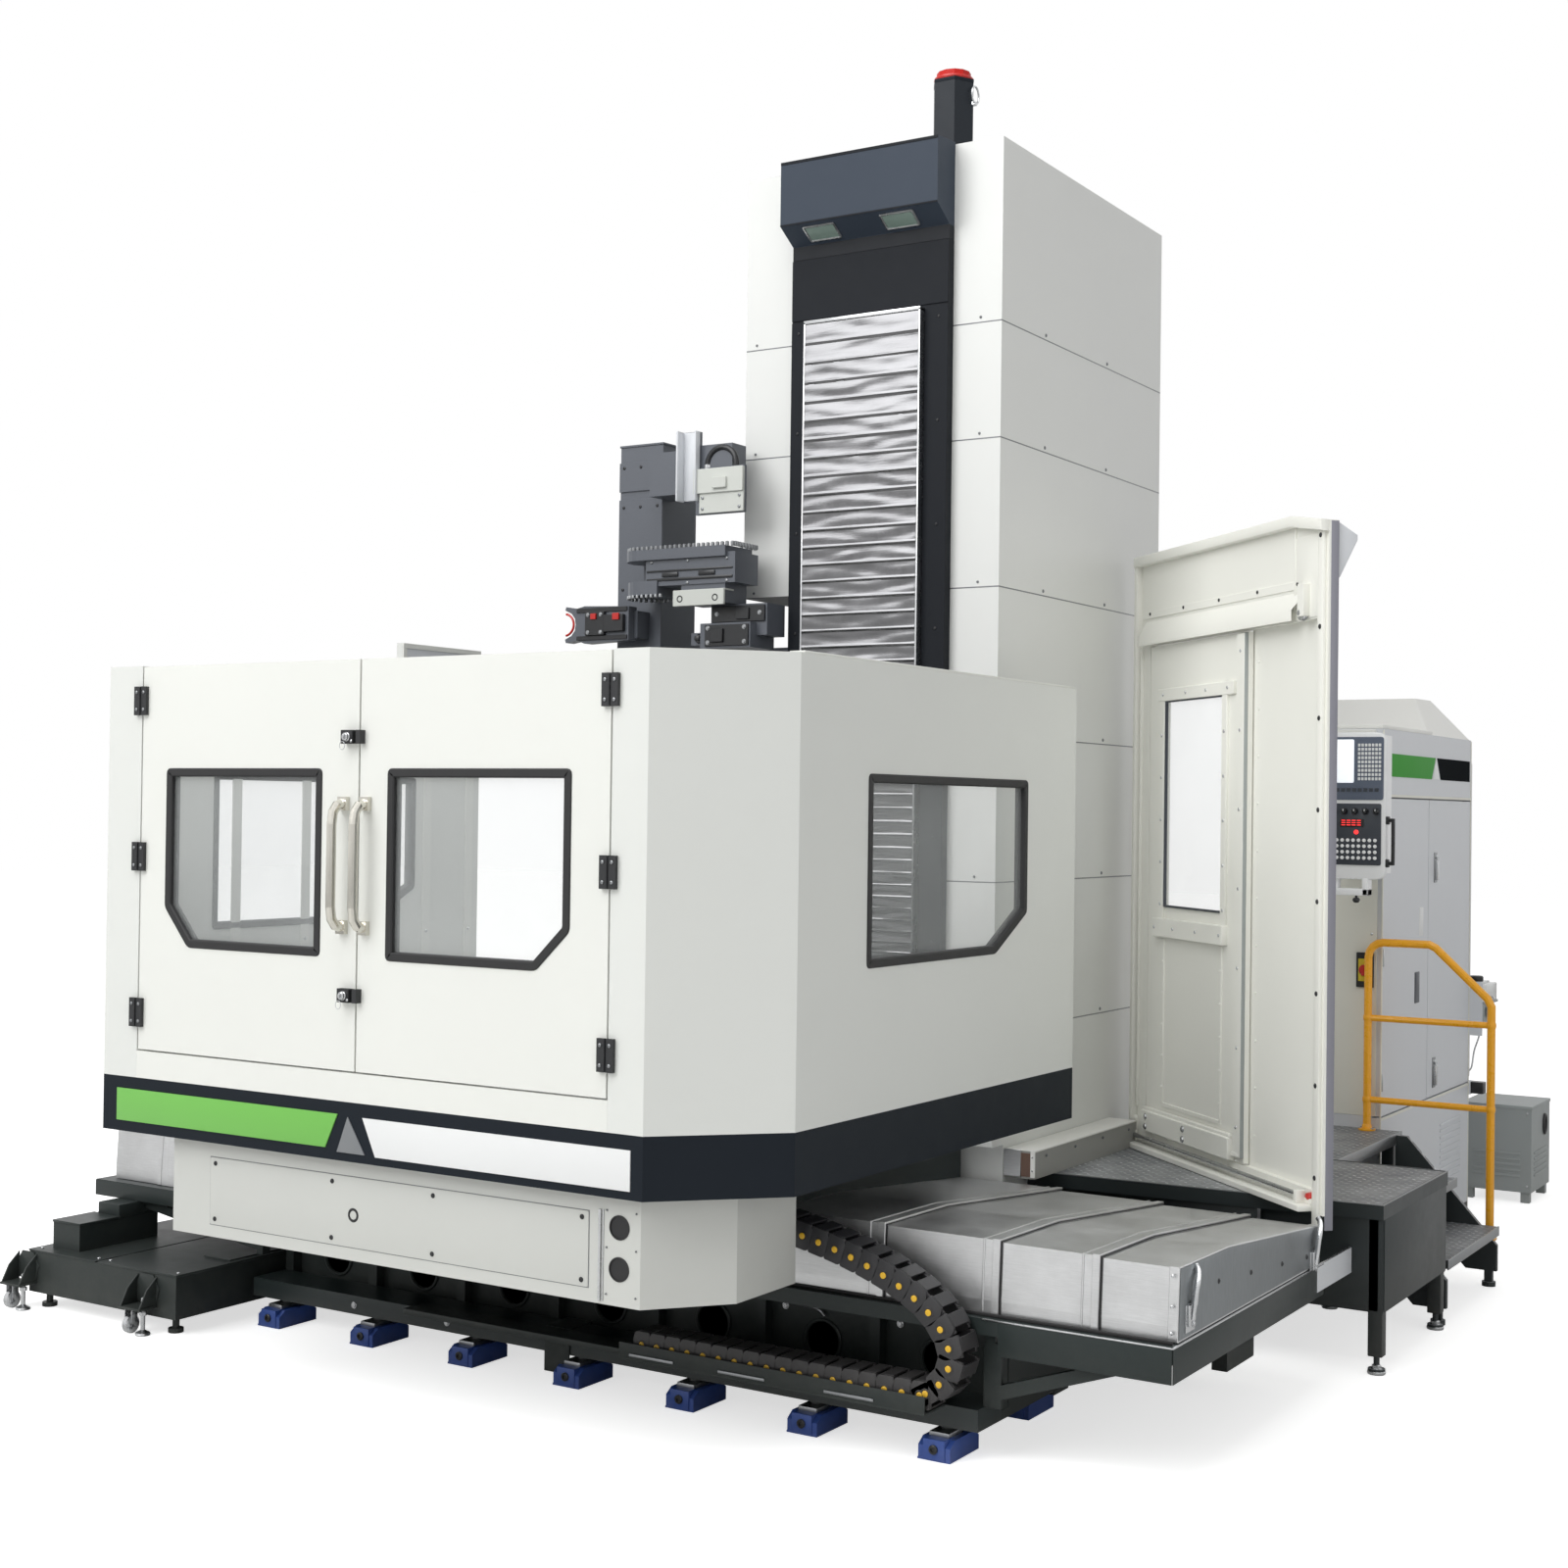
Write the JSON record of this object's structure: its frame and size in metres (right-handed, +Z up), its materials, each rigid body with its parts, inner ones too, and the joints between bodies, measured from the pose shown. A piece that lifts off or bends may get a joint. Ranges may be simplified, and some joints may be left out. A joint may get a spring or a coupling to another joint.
{
  "type": "horizontal boring mill",
  "caption": "Horizontal boring mill with a tall column, a moving table in a windowed enclosure, stainless way covers, a guard with a sliding door, a platform and an electrical cabinet.",
  "frame": {"origin": "on the floor, at the centre of the underside of the middle front levelling pad", "axes": "+X along the bed to the operator's right, +Y away from the operator towards the column, +Z up"},
  "size_m": [4.313, 6.1098, 4.4],
  "materials": {
    "white_paint": "fine textured off-white enamel",
    "casting": "dark green-black machine enamel",
    "cream_paint": "fine textured cream enamel",
    "grey_paint": "light grey enamel",
    "black_paint": "fine textured blue-black enamel",
    "stainless": "brushed stainless sheet",
    "handle_steel": "polished stainless tube",
    "chain_plastic": "moulded nylon",
    "foot_blue": "blue enamel",
    "glass": "clear",
    "dark_steel": "dark enamel on steel plate",
    "yellow_paint": "gloss yellow enamel",
    "machined_iron": "ground"
  },
  "bodies": {
    "machine": {"apron": "white_paint", "bed_casting": "casting", "cabinet_body": "cream_paint", "cabinet_hood": "cream_paint", "changer_bracket": "black_paint", "changer_gripper": "black_paint", "changer_lower_block": "black_paint", "changer_magazine": "black_paint", "changer_tower": "black_paint", "column_bed": "casting", "column_body": "white_paint", "column_front_frame": "black_paint", "control_panel": "grey_paint", "coolant_tank": "casting", "cover_left": "stainless", "cover_right_1": "stainless", "cover_right_2": "stainless", "cover_right_3": "stainless", "cover_right_4": "stainless", "cover_tray": "casting", "door_sill": "white_paint", "drag_chain": "chain_plastic", "enclosure_base": "black_paint", "enclosure_wall_left": "white_paint", "enclosure_wall_right": "white_paint", "foot_rail_front": "foot_blue", "foot_rail_middle": "foot_blue", "foot_rail_rear": "foot_blue", "guard_frame": "white_paint", "guard_top_cover": "white_paint", "head_box": "black_paint", "headstock": "casting", "lubrication_unit": "grey_paint", "platform_front": "dark_steel", "platform_rear": "dark_steel", "pump_box": "casting", "rail_cover": "white_paint", "railing": "yellow_paint", "rotary_table": "machined_iron", "saddle": "casting", "signal_post": "black_paint", "stair": "dark_steel", "transformer_box": "grey_paint", "way_cover_lower": "stainless", "way_cover_upper": "stainless", "window_side_left": "glass", "window_side_right": "glass"},
    "door_left": {"door_left": "white_paint", "window_left": "glass", "door_handle_left": "handle_steel"},
    "door_right": {"door_right": "white_paint", "window_right": "glass", "door_handle_right": "handle_steel"},
    "guard_door": {"guard_door": "white_paint", "guard_window": "glass"},
    "cabinet_door_near": {"cabinet_door_near": "grey_paint"},
    "cabinet_door_far": {"cabinet_door_far": "grey_paint"}
  },
  "joints": [
    {"name": "enclosure_door_left_hinge", "type": "hinge", "parent": "machine", "child": "door_left", "pos_m": [-1.191, -0.775, 1.62], "axis": [0, 0, -1], "range_deg": [0, 110]},
    {"name": "enclosure_door_right_hinge", "type": "hinge", "parent": "machine", "child": "door_right", "pos_m": [0.648, -0.775, 1.62], "axis": [0, 0, 1], "range_deg": [0, 110]},
    {"name": "guard_door_slide", "type": "slide", "parent": "machine", "child": "guard_door", "axis": [0.734, -0.6791, 0], "range_m": [0, 0.46]},
    {"name": "cabinet_door_near_hinge", "type": "hinge", "parent": "machine", "child": "cabinet_door_near", "pos_m": [1.592, 3.126, 1.24], "axis": [0, 0, -1], "range_deg": [0, 90]},
    {"name": "cabinet_door_far_hinge", "type": "hinge", "parent": "machine", "child": "cabinet_door_far", "pos_m": [1.592, 4.494, 1.24], "axis": [0, 0, 1], "range_deg": [0, 90]}
  ]
}
